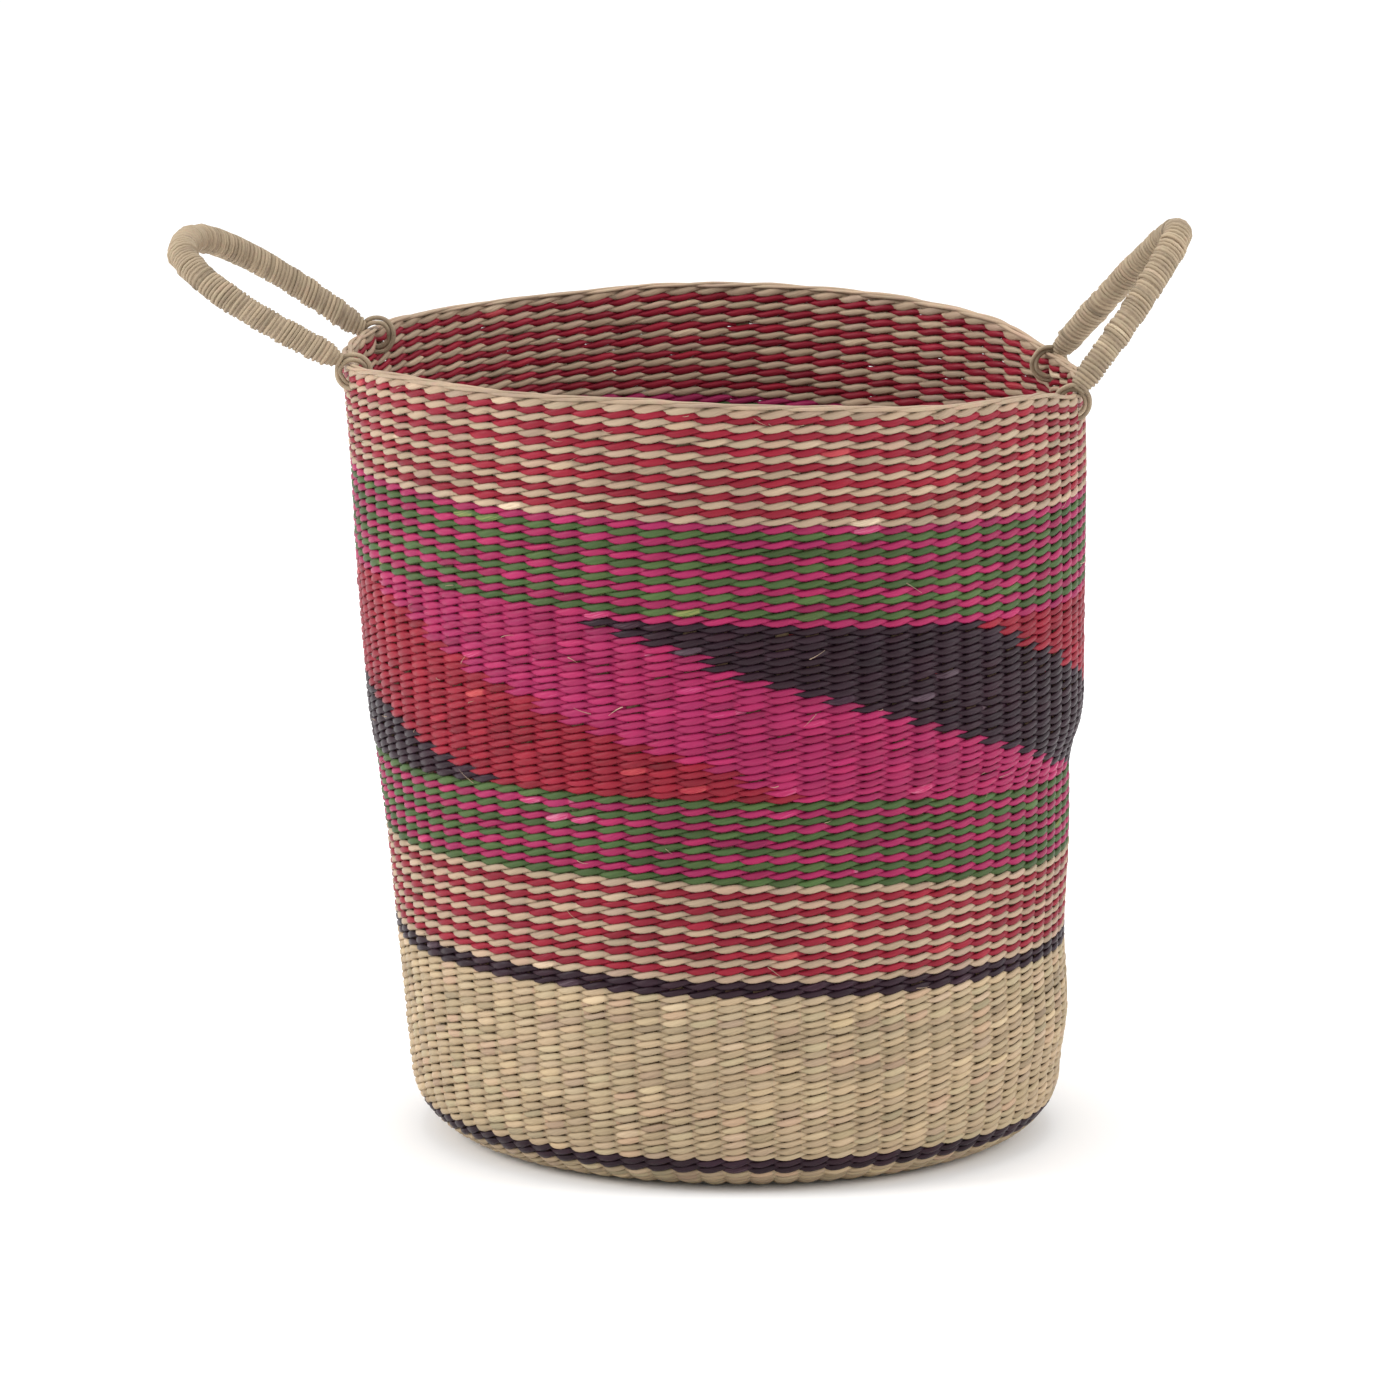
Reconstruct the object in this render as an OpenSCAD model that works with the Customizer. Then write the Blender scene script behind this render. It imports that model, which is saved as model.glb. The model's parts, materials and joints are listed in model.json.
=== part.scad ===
// Twined seagrass storage basket with two hinged loop handles.
// Millimetres, +Z up. The origin is the centre of the underside of the base,
// +X points at the right-hand handle.

/* [Basket] */
// Outer radius of the mouth
mouth_r = 189; // [150:1:260]
// Height of the border at the front and back of the mouth
wall_h = 408; // [300:1:520]
// Radius of the flat part of the base
base_r = 139; // [110:1:180]
// Outer radius of the turn from base to wall
turn_r = 26; // [20:1:34]
// Height of the natural foot course
foot_h = 10; // [8:0.5:14]
// Lean of the wall towards the left-hand handle, degrees
lean = 1.8; // [0:0.1:4]
// Slope of the courses at the top of the wall, low on the right, degrees
course_slope = 2.6; // [0:0.1:4]
// How far the mouth dips at the handles
mouth_dip = 16; // [6:0.5:24]
// How much lower the mouth is at the right-hand handle than at the left
mouth_drop = 16; // [0:0.5:24]

/* [Weave] */
// Number of upright stakes
stake_count = 76; // [60:2:90]
// Width of a stake
stake_w = 4; // [2.5:0.1:5]
// Thickness of a stake
stake_t = 1.9; // [1.2:0.1:2.6]
// Thickness of the weft layer on each face of the wall
weft_t = 2.2; // [1.6:0.1:3]
// Gap between a stake and the weft
stake_gap = 0.1; // [0.05:0.01:0.3]
// Number of spokes in the base
spoke_count = 38; // [24:2:46]
// Radius of the crossed start of the base
start_r = 30; // [28:1:45]
// Height of the border
border_h = 6; // [4:0.5:8]
// How far the border stands out from each face of the wall
border_lip = 0.5; // [0:0.1:1.5]

/* [Courses of each band, from the foot up] */
// Dark courses above the foot
lower_dark_n = 2; // [1:1:4]
// Natural courses
natural_n = 22; // [14:1:28]
// Dark courses under the stripes
upper_dark_n = 2; // [1:1:4]
// Red and natural courses under the pattern
lower_red_n = 13; // [9:2:17]
// Green and pink courses under the pattern
lower_green_n = 11; // [7:2:15]
// Courses of the diagonal pattern
pattern_n = 23; // [15:1:29]
// Green and pink courses above the pattern
upper_green_n = 13; // [9:2:17]
// Red and natural courses under the border
upper_red_n = 14; // [8:2:18]

/* [Handles] */
// Diameter of the wrapped grip
grip_d = 13.5; // [10:0.5:20]
// Thickness of the twine wrapped on the grip
wrap_t = 2; // [1.2:0.1:2.5]
// Height of the loop from its hinge line to the middle of the grip
loop_h = 104; // [80:1:130]
// Number of stakes that a handle spans
loop_span = 7; // [5:2:9]
// Squareness of the left-hand loop, 2 is an ellipse
left_fullness = 2.8; // [1.6:0.1:3]
// Squareness of the right-hand loop, 2 is an ellipse
right_fullness = 1.6; // [1.6:0.1:3]
// How far the left-hand handle stands out from upright, degrees
left_tilt = 57; // [0:1:100]
// How far the right-hand handle stands out from upright, degrees
right_tilt = 35; // [0:1:100]
// Radius of the ring of cord that holds a leg to the wall
eye_r = 9; // [8.5:0.1:12]
// Diameter of the cord in that ring
eye_cord_d = 5.2; // [4:0.1:5.4]
// Gap between the ring's cord and its hole in the wall
eye_gap = 0.8; // [0.3:0.1:1]
// Distance from the hinge line at which the wrapped grip begins
neck_h = 19; // [16:0.5:24]

/* [Hidden] */
$fn = 96;

straw = "#c9b48c";
red = "#b3243a";
pink = "#c4257a";
green = "#3f7d3a";
aubergine = "#3a1d2e";

// A block larger than the basket, for cutting.
big = 3 * (mouth_r + wall_h);

// Wall thickness: weft, stake and weft.
stake_layer = stake_t + 2 * stake_gap;
wall_t = 2 * weft_t + stake_layer;

// Heights of the band boundaries on the basket's middle line.
course_count = lower_dark_n + natural_n + upper_dark_n + lower_red_n + lower_green_n
             + pattern_n + upper_green_n + upper_red_n;
course_h = (wall_h - border_h - foot_h) / course_count;
lower_dark_top = foot_h + lower_dark_n * course_h;
natural_top = lower_dark_top + natural_n * course_h;
upper_dark_top = natural_top + upper_dark_n * course_h;
lower_red_top = upper_dark_top + lower_red_n * course_h;
lower_green_top = lower_red_top + lower_green_n * course_h;
pattern_top = lower_green_top + pattern_n * course_h;
upper_green_top = pattern_top + upper_green_n * course_h;

// Outline of the wall above the turn: share of the height, share of the flare.
flare = [[0, 0], [0.10, 0.15], [0.20, 0.18], [0.42, 0.44], [0.51, 0.68], [0.70, 0.85], [1, 1]];
turn_out = base_r + turn_r;
function above_turn(share) = turn_r + share * (wall_h - turn_r);
function wall_r(z) = z < turn_r
  ? base_r + sqrt(turn_r * turn_r - (turn_r - z) * (turn_r - z))
  : turn_out + (mouth_r - turn_out) * lookup((z - turn_r) / (wall_h - turn_r), flare);
// The leaned wall is drawn past both of its ends and cut to length.
spare = 0.06 * wall_h;
outline_z = concat(
  [for (a = [30:15:75]) turn_r * (1 - cos(a))],
  [for (p = flare) above_turn(p[0])],
  [wall_h + spare]);

// The mouth is cut by a large cylinder that lies along Y: it dips at the handles.
mouth_curve = mouth_r * mouth_r / (2 * mouth_dip);
mouth_fall = mouth_drop / (2 * mouth_r);
mouth_x = -wall_h * sin(lean) - mouth_curve * mouth_fall;
mouth_z = wall_h + mouth_curve * mouth_fall * mouth_fall / 2 - mouth_curve;
function border_z(x) = mouth_z
  + sqrt(pow(mouth_curve - border_h / 2, 2) - (x - mouth_x) * (x - mouth_x));

// Where a handle's ring is centred: on the border, in the gap before or after a stake.
stake_pitch = 360 / stake_count;
function leaned_x(across, z) = (across - z * sin(lean)) / cos(lean);
function mid_wall_r(x, z) = wall_r(z * cos(lean) - x * sin(lean)) - wall_t / 2;
function eye_at(angle, x) = let (z = border_z(x), r = mid_wall_r(x, z))
  [leaned_x(r * cos(angle), z), r * sin(angle), z];
function eye_point(angle) =
  eye_at(angle, eye_at(angle, leaned_x(mouth_r * cos(angle), wall_h))[0]);
left_stake = stake_count / 2 - 1;
right_stake = 1;
function front_sign(stake) = stake > stake_count / 4 ? 1 : -1;
function front_eye(stake) = eye_point((stake + front_sign(stake) * loop_span / 2) * stake_pitch);
function back_eye(stake) = eye_point((stake - front_sign(stake) * loop_span / 2) * stake_pitch);

// A ring crosses the wall on a curve, so its hole is a little wider than its cord.
eye_rise = eye_r - sqrt(eye_r * eye_r - wall_t * wall_t / 4);
eye_hole_r = eye_cord_d / 2 + eye_rise / 2 + eye_gap;
eye_drop = eye_r - eye_rise / 2;
eye_hole_l = 6 * wall_t;

core_d = grip_d - 2 * wrap_t;
neck_tip_r = eye_cord_d / 2 + 0.8;

// The middle line of a grip: a superellipse that stands on the necks. A fullness of 2 is
// an ellipse, more is squarer and less is more pointed.
loop_rings = 26;
loop_sides = 12;
function superellipse_r(a, half, fullness) = 1 / pow(
  pow(abs(cos(a)) / half, fullness) + pow(sin(a) / (loop_h - neck_h), fullness), 1 / fullness);
function loop_point(half, fullness, i) =
  let (a = i * 180 / loop_rings, r = superellipse_r(a, half, fullness))
  [r * cos(a), neck_h + r * sin(a)];
function loop_side(half, fullness, i) =
  i == 0 ? [1, 0] : i == loop_rings ? [-1, 0] :
  let (d = loop_point(half, fullness, i + 1) - loop_point(half, fullness, i - 1))
  [d[1], -d[0]] / norm(d);

// ---------- helpers ----------

module leaned() rotate([0, -lean, 0]) children();

// Everything above a course plane that crosses the middle line at z.
module above(z) {
  translate([0, 0, z])
    rotate([0, course_slope * z / wall_h, 0])
      translate([-big / 2, -big / 2, 0]) cube(big);
}

// Everything below the mouth, less a depth measured from the top of the border.
module under_mouth(depth) {
  translate([mouth_x, 0, mouth_z])
    rotate([90, 0, 0]) cylinder(r = mouth_curve - depth, h = big, center = true, $fn = 360);
}

// Section of the wall between two depths from its outer face.
module wall_section(depth_out, depth_in) {
  polygon(concat(
    [for (z = outline_z) [wall_r(z) - depth_out, z]],
    [for (i = [len(outline_z) - 1:-1:0]) [wall_r(outline_z[i]) - depth_in, outline_z[i]]]));
}

module wall_layer(depth_out, depth_in)
  leaned() rotate_extrude() wall_section(depth_out, depth_in);

// A band of one weft layer between two course planes.
module band(depth_out, depth_in, z0, z1) {
  difference() {
    intersection() {
      wall_layer(depth_out, depth_in);
      above(z0);
    }
    above(z1);
  }
}
module outer_band(z0, z1) band(0, weft_t, z0, z1);
module inner_band(z0, z1) band(weft_t + stake_layer, wall_t, z0, z1);

// The band under the border: cut by the mouth, with a hole for each ring.
module top_band(depth_out, depth_in) {
  difference() {
    intersection() {
      wall_layer(depth_out, depth_in);
      above(upper_green_top);
      under_mouth(border_h);
    }
    eye_holes(left_stake);
    eye_holes(right_stake);
  }
}

// Moves its children to a handle's hinge line: X outward, Y along the line, Z up.
module at_hinge(stake) {
  ends = [front_eye(stake), back_eye(stake)];
  line = front_sign(stake) * (ends[0] - ends[1]);
  translate((ends[0] + ends[1]) / 2)
    rotate([0, 0, atan2(-line[0], line[1])])
      rotate([atan2(line[2], norm([line[0], line[1]])), 0, 0]) children();
}
function half_span(stake) = norm(front_eye(stake) - back_eye(stake)) / 2;

module eye_holes(stake) {
  at_hinge(stake)
    for (side = [-1, 1])
      translate([0, side * half_span(stake), -eye_drop])
        rotate([0, 90, 0]) cylinder(r = eye_hole_r, h = eye_hole_l, center = true);
}

// Section of the turn from base to wall, full thickness.
module turn_section() {
  translate([base_r, turn_r])
    difference() {
      circle(r = turn_r);
      circle(r = turn_r - wall_t);
      translate([-big, 0]) square([2 * big, big]);
      translate([-big, -big]) square([big, 2 * big]);
    }
}

// A rod or tube bent along the loop, in the YZ plane.
module loop(half, fullness, rod_r, bore_r) {
  rings = [for (i = [0:loop_rings])
    let (c = loop_point(half, fullness, i), side = loop_side(half, fullness, i))
    for (r = bore_r > 0 ? [rod_r, bore_r] : [rod_r], a = [0:loop_sides - 1])
      let (turn = a * 360 / loop_sides)
      [r * sin(turn), c[0] + r * cos(turn) * side[0], c[1] + r * cos(turn) * side[1]]];
  n = loop_sides;
  step = bore_r > 0 ? 2 * n : n;
  last = loop_rings * step;
  skin = [for (i = [0:loop_rings - 1], a = [0:n - 1]) let (b = (a + 1) % n)
    [i * step + a, i * step + b, (i + 1) * step + b, (i + 1) * step + a]];
  bore = [for (i = [0:loop_rings - 1], a = [0:n - 1]) let (b = (a + 1) % n)
    [i * step + n + b, i * step + n + a, (i + 1) * step + n + a, (i + 1) * step + n + b]];
  first_disc = [[for (a = [n - 1:-1:0]) a]];
  last_disc = [[for (a = [0:n - 1]) last + a]];
  first_ring = [for (a = [0:n - 1]) let (b = (a + 1) % n) [b, a, n + a, n + b]];
  last_ring = [for (a = [0:n - 1]) let (b = (a + 1) % n)
    [last + a, last + b, last + n + b, last + n + a]];
  polyhedron(rings, bore_r > 0 ? concat(skin, bore, first_ring, last_ring)
                               : concat(skin, first_disc, last_disc));
}

module eye_ring() rotate([90, 0, 0]) rotate_extrude() translate([eye_r, 0]) circle(d = eye_cord_d);

// Places a leg's pieces at one end of the hinge line; side is 1 towards +Y.
module at_leg(stake, tilt, side)
  at_hinge(stake) rotate([0, tilt, 0]) translate([0, side * half_span(stake), 0]) children();

// ---------- base ----------

module base_underside() color(straw) cylinder(r = base_r, h = weft_t);

module base_floor() {
  color(straw) translate([0, 0, weft_t + stake_layer]) cylinder(r = base_r, h = weft_t);
}

module base_start() {
  color(straw) translate([0, 0, weft_t]) cylinder(r = start_r - stake_gap, h = stake_layer);
}

module base_spokes() {
  color(straw)
    for (i = [0:spoke_count - 1])
      rotate([0, 0, i * 360 / spoke_count])
        translate([start_r, -stake_w / 2, weft_t + stake_gap])
          cube([base_r - start_r, stake_w, stake_t]);
}

module foot_turn() {
  color(straw) rotate_extrude()
    difference() {
      turn_section();
      translate([0, foot_h]) square(big);
    }
}

module lower_dark_line() {
  color(aubergine)
    difference() {
      rotate_extrude()
        difference() {
          turn_section();
          square([big, foot_h]);
        }
      above(lower_dark_top);
    }
}

// ---------- wall ----------

module natural_band_outer() color(straw) outer_band(lower_dark_top, natural_top);
module natural_band_inner() color(straw) inner_band(lower_dark_top, natural_top);
module upper_dark_line_outer() color(aubergine) outer_band(natural_top, upper_dark_top);
module upper_dark_line_inner() color(aubergine) inner_band(natural_top, upper_dark_top);
module lower_red_stripes_outer() color(red) outer_band(upper_dark_top, lower_red_top);
module lower_red_stripes_inner() color(red) inner_band(upper_dark_top, lower_red_top);
module lower_green_stripes_outer() color(green) outer_band(lower_red_top, lower_green_top);
module lower_green_stripes_inner() color(green) inner_band(lower_red_top, lower_green_top);
module pattern_band_outer() color(pink) outer_band(lower_green_top, pattern_top);
module pattern_band_inner() color(pink) inner_band(lower_green_top, pattern_top);
module upper_green_stripes_outer() color(green) outer_band(pattern_top, upper_green_top);
module upper_green_stripes_inner() color(green) inner_band(pattern_top, upper_green_top);
module upper_red_stripes_outer() color(red) top_band(0, weft_t);
module upper_red_stripes_inner() color(red) top_band(weft_t + stake_layer, wall_t);

module wall_stakes() {
  color(straw)
    for (i = [0:stake_count - 1])
      intersection() {
        leaned() rotate([0, 0, i * stake_pitch])
          rotate([90, 0, 0]) linear_extrude(stake_w, center = true)
            wall_section(weft_t + stake_gap, weft_t + stake_gap + stake_t);
        above(lower_dark_top);
        under_mouth(border_h);
      }
}

module rim_border() {
  color(straw)
    difference() {
      intersection() {
        wall_layer(-border_lip, wall_t + border_lip);
        above(upper_green_top);
        under_mouth(0);
      }
      under_mouth(border_h);
    }
}

// ---------- handles ----------

module grip_core(stake, tilt, fullness) {
  color(straw) at_hinge(stake) rotate([0, tilt, 0])
    loop(half_span(stake), fullness, core_d / 2, 0);
}

module grip_wrap(stake, tilt, fullness) {
  color(straw) at_hinge(stake) rotate([0, tilt, 0])
    loop(half_span(stake), fullness, grip_d / 2, core_d / 2);
}

module neck(stake, tilt, side) {
  color(straw) at_leg(stake, tilt, side)
    difference() {
      translate([0, 0, eye_r]) cylinder(r1 = neck_tip_r, r2 = grip_d / 2, h = neck_h - eye_r);
      eye_ring();
    }
}

module eye(stake, tilt, side) color(straw) at_leg(stake, tilt, side) eye_ring();

module left_grip_core() grip_core(left_stake, left_tilt, left_fullness);
module left_grip_wrap() grip_wrap(left_stake, left_tilt, left_fullness);
module left_front_neck() neck(left_stake, left_tilt, 1);
module left_back_neck() neck(left_stake, left_tilt, -1);
module left_front_eye() eye(left_stake, left_tilt, 1);
module left_back_eye() eye(left_stake, left_tilt, -1);
module right_grip_core() grip_core(right_stake, right_tilt, right_fullness);
module right_grip_wrap() grip_wrap(right_stake, right_tilt, right_fullness);
module right_front_neck() neck(right_stake, right_tilt, -1);
module right_back_neck() neck(right_stake, right_tilt, 1);
module right_front_eye() eye(right_stake, right_tilt, -1);
module right_back_eye() eye(right_stake, right_tilt, 1);

base_underside();
base_spokes();
base_start();
base_floor();
foot_turn();
lower_dark_line();
natural_band_outer();
natural_band_inner();
upper_dark_line_outer();
upper_dark_line_inner();
lower_red_stripes_outer();
lower_red_stripes_inner();
lower_green_stripes_outer();
lower_green_stripes_inner();
pattern_band_outer();
pattern_band_inner();
upper_green_stripes_outer();
upper_green_stripes_inner();
upper_red_stripes_outer();
upper_red_stripes_inner();
wall_stakes();
rim_border();
left_grip_core();
left_grip_wrap();
left_front_neck();
left_back_neck();
left_front_eye();
left_back_eye();
right_grip_core();
right_grip_wrap();
right_front_neck();
right_back_neck();
right_front_eye();
right_back_eye();
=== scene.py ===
"""A round storage basket, pair-twined from dyed seagrass, with two handles that swing on cord eyes."""

import json
import math

import bpy
import numpy as np
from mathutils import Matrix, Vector


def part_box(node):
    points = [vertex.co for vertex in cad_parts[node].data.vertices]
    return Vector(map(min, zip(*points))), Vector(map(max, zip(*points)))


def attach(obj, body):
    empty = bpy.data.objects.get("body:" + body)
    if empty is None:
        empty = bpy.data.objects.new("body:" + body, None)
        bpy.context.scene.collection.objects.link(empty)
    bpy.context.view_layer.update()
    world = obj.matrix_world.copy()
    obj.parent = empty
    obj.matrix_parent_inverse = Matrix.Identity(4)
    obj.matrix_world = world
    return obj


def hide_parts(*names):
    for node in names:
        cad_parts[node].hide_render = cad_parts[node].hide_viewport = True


bl_info = {
    "name": "Twined Seagrass Basket",
    "version": (1, 0, 0),
    "blender": (4, 5, 0),
    "location": "3D View > Sidebar > Basket",
    "description": "Weaves a round seagrass basket with two swinging wrapped handles",
    "category": "Add Mesh",
}

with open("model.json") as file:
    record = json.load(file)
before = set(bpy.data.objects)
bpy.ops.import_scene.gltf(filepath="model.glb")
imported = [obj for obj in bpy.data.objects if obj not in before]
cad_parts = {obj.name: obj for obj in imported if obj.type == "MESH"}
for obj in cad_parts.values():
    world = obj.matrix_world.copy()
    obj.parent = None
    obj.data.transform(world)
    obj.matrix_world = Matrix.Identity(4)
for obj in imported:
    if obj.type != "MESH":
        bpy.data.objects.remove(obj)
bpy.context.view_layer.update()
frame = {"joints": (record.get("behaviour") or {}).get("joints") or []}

MM = 0.001
TAU = 2 * math.pi
UP = np.array([0.0, 0.0, 1.0])


def linear(code):
    """The linear colour of an sRGB hex value."""
    parts = [int(code[i : i + 2], 16) / 255 for i in (1, 3, 5)]
    return tuple(c / 12.92 if c <= 0.04045 else ((c + 0.055) / 1.055) ** 2.4 for c in parts)


# ---------- sizes and colours ----------


def length(name, description, default):
    """A length property, given in millimetres and kept in metres."""
    return bpy.props.FloatProperty(
        name=name, description=description, default=default * MM, min=0, unit="LENGTH", precision=4
    )


class BasketShape(bpy.types.PropertyGroup):
    """Sizes of the shell that the courses lie on."""

    base_radius: length("Base radius", "Radius of the flat of the base", 132.8)
    turn_radius: length("Turn radius", "Radius of the turn from base to wall", 34)
    wall_middle: length("Wall middle", "Depth of the stakes' middle under the outer face", 2.7)
    lean: bpy.props.FloatProperty(
        name="Lean", description="How far the wall leans to the left for its height",
        default=0.0315, min=0, max=0.1,
    )
    waviness: length("Waviness", "How far the wall waves in and out", 0.55)


class WeaveSizes(bpy.types.PropertyGroup):
    """Sizes of the twining."""

    stake_count: bpy.props.IntProperty(
        name="Stakes", description="Upright stakes round the wall, an even number",
        default=76, min=8, step=2,
    )
    course_height: length("Course height", "Height of one twined course", 3.92)
    strand_width: length("Strand width", "Width of a strand over a stake", 4.15)
    gap_width: length("Gap width", "Width of a strand where it passes between stakes", 2.55)
    strand_thick: length("Strand thickness", "Thickness of a strand", 2.15)
    depth: length("Depth", "How far a strand's middle stands off the stake's middle", 1.6)
    rise: length("Rise", "How far a stitch climbs from its middle to the next gap", 1.15)
    stake_width: length("Stake width", "Width of a stake", 7.6)
    seed: bpy.props.IntProperty(
        name="Seed", description="Start of the random unevenness of the strands", default=7
    )


class HandleSizes(bpy.types.PropertyGroup):
    """Sizes of the wrapped handles."""

    leg_thick: length("Leg thickness", "Thickness of a handle's leg over its wrapping", 12.8)
    grip_thick: length("Grip thickness", "Thickness at the middle of the grip", 14.4)
    twine_width: length("Twine width", "Width of the wrapping twine", 2.3)
    left_height: length("Left height", "From the left hinge line to the grip's middle line", 107.5)
    right_height: length("Right height", "From the right hinge line to the grip's middle line", 101)
    left_fullness: bpy.props.FloatProperty(
        name="Left fullness", description="2 is an ellipse and more is squarer",
        default=3.0, min=1.1, max=8,
    )
    right_fullness: bpy.props.FloatProperty(
        name="Right fullness", description="2 is an ellipse and less is more pointed",
        default=1.4, min=1.1, max=8,
    )
    left_tilt: bpy.props.FloatProperty(
        name="Left tilt", description="Outward tilt of the left handle",
        default=math.radians(59), subtype="ANGLE",
    )
    right_tilt: bpy.props.FloatProperty(
        name="Right tilt", description="Outward tilt of the right handle",
        default=math.radians(37.5), subtype="ANGLE",
    )
    eye_radius: length("Eye radius", "Radius of the cord ring that holds a leg", 9)
    eye_strand: length("Eye strand", "Thickness of one turn of the ring's cord", 2.2)


def colour(name, description, code):
    """A colour property from an sRGB hex value."""
    return bpy.props.FloatVectorProperty(
        name=name, description=description, default=linear(code), size=3, min=0, max=1,
        subtype="COLOR",
    )


class BasketColours(bpy.types.PropertyGroup):
    """Colours of the dried and dyed seagrass."""

    natural: colour("Natural", "Undyed seagrass of the lower band and base", "#a69276")
    pale: colour("Pale", "Bleached seagrass of the border and the pale courses", "#a28c76")
    red: colour("Red", "Red dyed seagrass", "#801829")
    pink: colour("Pink", "Pink dyed seagrass", "#91204d")
    green: colour("Green", "Green dyed seagrass", "#40542d")
    aubergine: colour("Aubergine", "Aubergine dyed seagrass", "#27151e")
    twine: colour("Twine", "Twine of the handles", "#9b8a73")
    # The stake colour is much darker than natural seagrass: painted shade for the gaps the stakes are seen through.
    stake: colour("Stake", "Stakes inside the weave", "#5f4d38")


# ---------- materials ----------


def add(tree, kind, inputs=None, **fields):
    """Adds a node, sets its fields, and sets or links its inputs."""
    made = tree.nodes.new(kind)
    for field, value in fields.items():
        setattr(made, field, value)
    for socket, value in (inputs or {}).items():
        if isinstance(value, bpy.types.NodeSocket):
            tree.links.new(value, made.inputs[socket])
        else:
            made.inputs[socket].default_value = value
    return made


def seagrass(name, base, dark=0.45, light=1.35, odd=(0.55, 0.42, 0.26), rough=0.55, streak=1.0,
             hues=0.13):
    """Dried grass strand: long fibres seen as fine streaks, each stitch its own tone, satin.

    Fibres are about 0.5 mm wide and 10 mm long; the map is in centimetres.
    """
    material = bpy.data.materials.new(name)
    material.use_nodes = True
    tree = material.node_tree
    tree.nodes.clear()
    base = tuple(base)
    uv = add(tree, "ShaderNodeUVMap", uv_map="fibre")
    tint = add(tree, "ShaderNodeAttribute", attribute_name="tint")
    split = add(tree, "ShaderNodeSeparateXYZ", {0: uv.outputs["UV"]})
    # Fibres turn slowly round the strand, and start afresh at each stitch.
    turned = add(
        tree, "ShaderNodeMath",
        {0: split.outputs["X"], 1: 0.12, 2: split.outputs["Y"]}, operation="MULTIPLY_ADD",
    )
    along = add(tree, "ShaderNodeMath", {0: split.outputs["X"], 1: 0.9}, operation="MULTIPLY")
    across = add(tree, "ShaderNodeMath", {0: turned.outputs[0], 1: 17.0}, operation="MULTIPLY")
    stitch = add(tree, "ShaderNodeMath", {0: tint.outputs["Fac"], 1: 40.0}, operation="MULTIPLY")
    where = add(
        tree, "ShaderNodeCombineXYZ",
        {0: along.outputs[0], 1: across.outputs[0], 2: stitch.outputs[0]},
    )
    fibres = add(
        tree, "ShaderNodeTexNoise",
        {"Vector": where.outputs[0], "Scale": 1.0, "Detail": 3.0, "Roughness": 0.6},
    )
    # Grass from one bundle lies together, so the tone drifts over some 60 mm.
    place = add(tree, "ShaderNodeTexCoord")
    drift = add(
        tree, "ShaderNodeTexNoise",
        {"Vector": place.outputs["Object"], "Scale": 16.0, "Detail": 2.0},
    )
    tone = add(
        tree, "ShaderNodeMath",
        {0: fibres.outputs["Fac"], 1: 0.75 * streak, 2: tint.outputs["Fac"]},
        operation="MULTIPLY_ADD",
    )
    tone = add(
        tree, "ShaderNodeMath",
        {0: drift.outputs["Fac"], 1: 0.5, 2: tone.outputs[0]}, operation="MULTIPLY_ADD",
    )
    middle = 0.5 + 0.375 * streak + 0.25
    spread = add(
        tree, "ShaderNodeMapRange",
        {0: tone.outputs[0], 1: middle - 0.62, 2: middle + 0.62, 3: 0.0, 4: 1.0},
    )
    ramp = add(tree, "ShaderNodeValToRGB", {0: spread.outputs[0]})
    stops = ramp.color_ramp.elements
    stops[0].position, stops[0].color = 0.0, (*(c * dark for c in base), 1)
    stops[1].position, stops[1].color = 0.97, (*odd, 1)
    stop = stops.new(0.5)
    stop.color = (*base, 1)
    stop = stops.new(0.82)
    stop.color = (*(min(1, c * light) for c in base), 1)
    # Blades differ a little in hue: pinkish, greenish or straw.
    which = add(tree, "ShaderNodeMath", {0: tint.outputs["Fac"], 1: 23.0}, operation="MULTIPLY")
    hue = add(
        tree, "ShaderNodeTexNoise", {"W": which.outputs[0], "Scale": 1.0, "Detail": 1.0},
        noise_dimensions="1D",
    )
    toned = add(
        tree, "ShaderNodeMix",
        {"Factor": hues, 6: ramp.outputs["Color"], 7: hue.outputs["Color"]},
        data_type="RGBA", blend_type="SOFT_LIGHT",
    )
    bump = add(
        tree, "ShaderNodeBump",
        {"Height": fibres.outputs["Fac"], "Strength": 0.55, "Distance": 0.0005},
    )
    shader = add(
        tree, "ShaderNodeBsdfPrincipled",
        {"Base Color": toned.outputs[2], "Normal": bump.outputs[0], "Roughness": rough,
         "IOR": 1.45, "Specular IOR Level": 0.22},
    )
    add(tree, "ShaderNodeOutputMaterial", {"Surface": shader.outputs[0]})
    return material


MADE = {}


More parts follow.
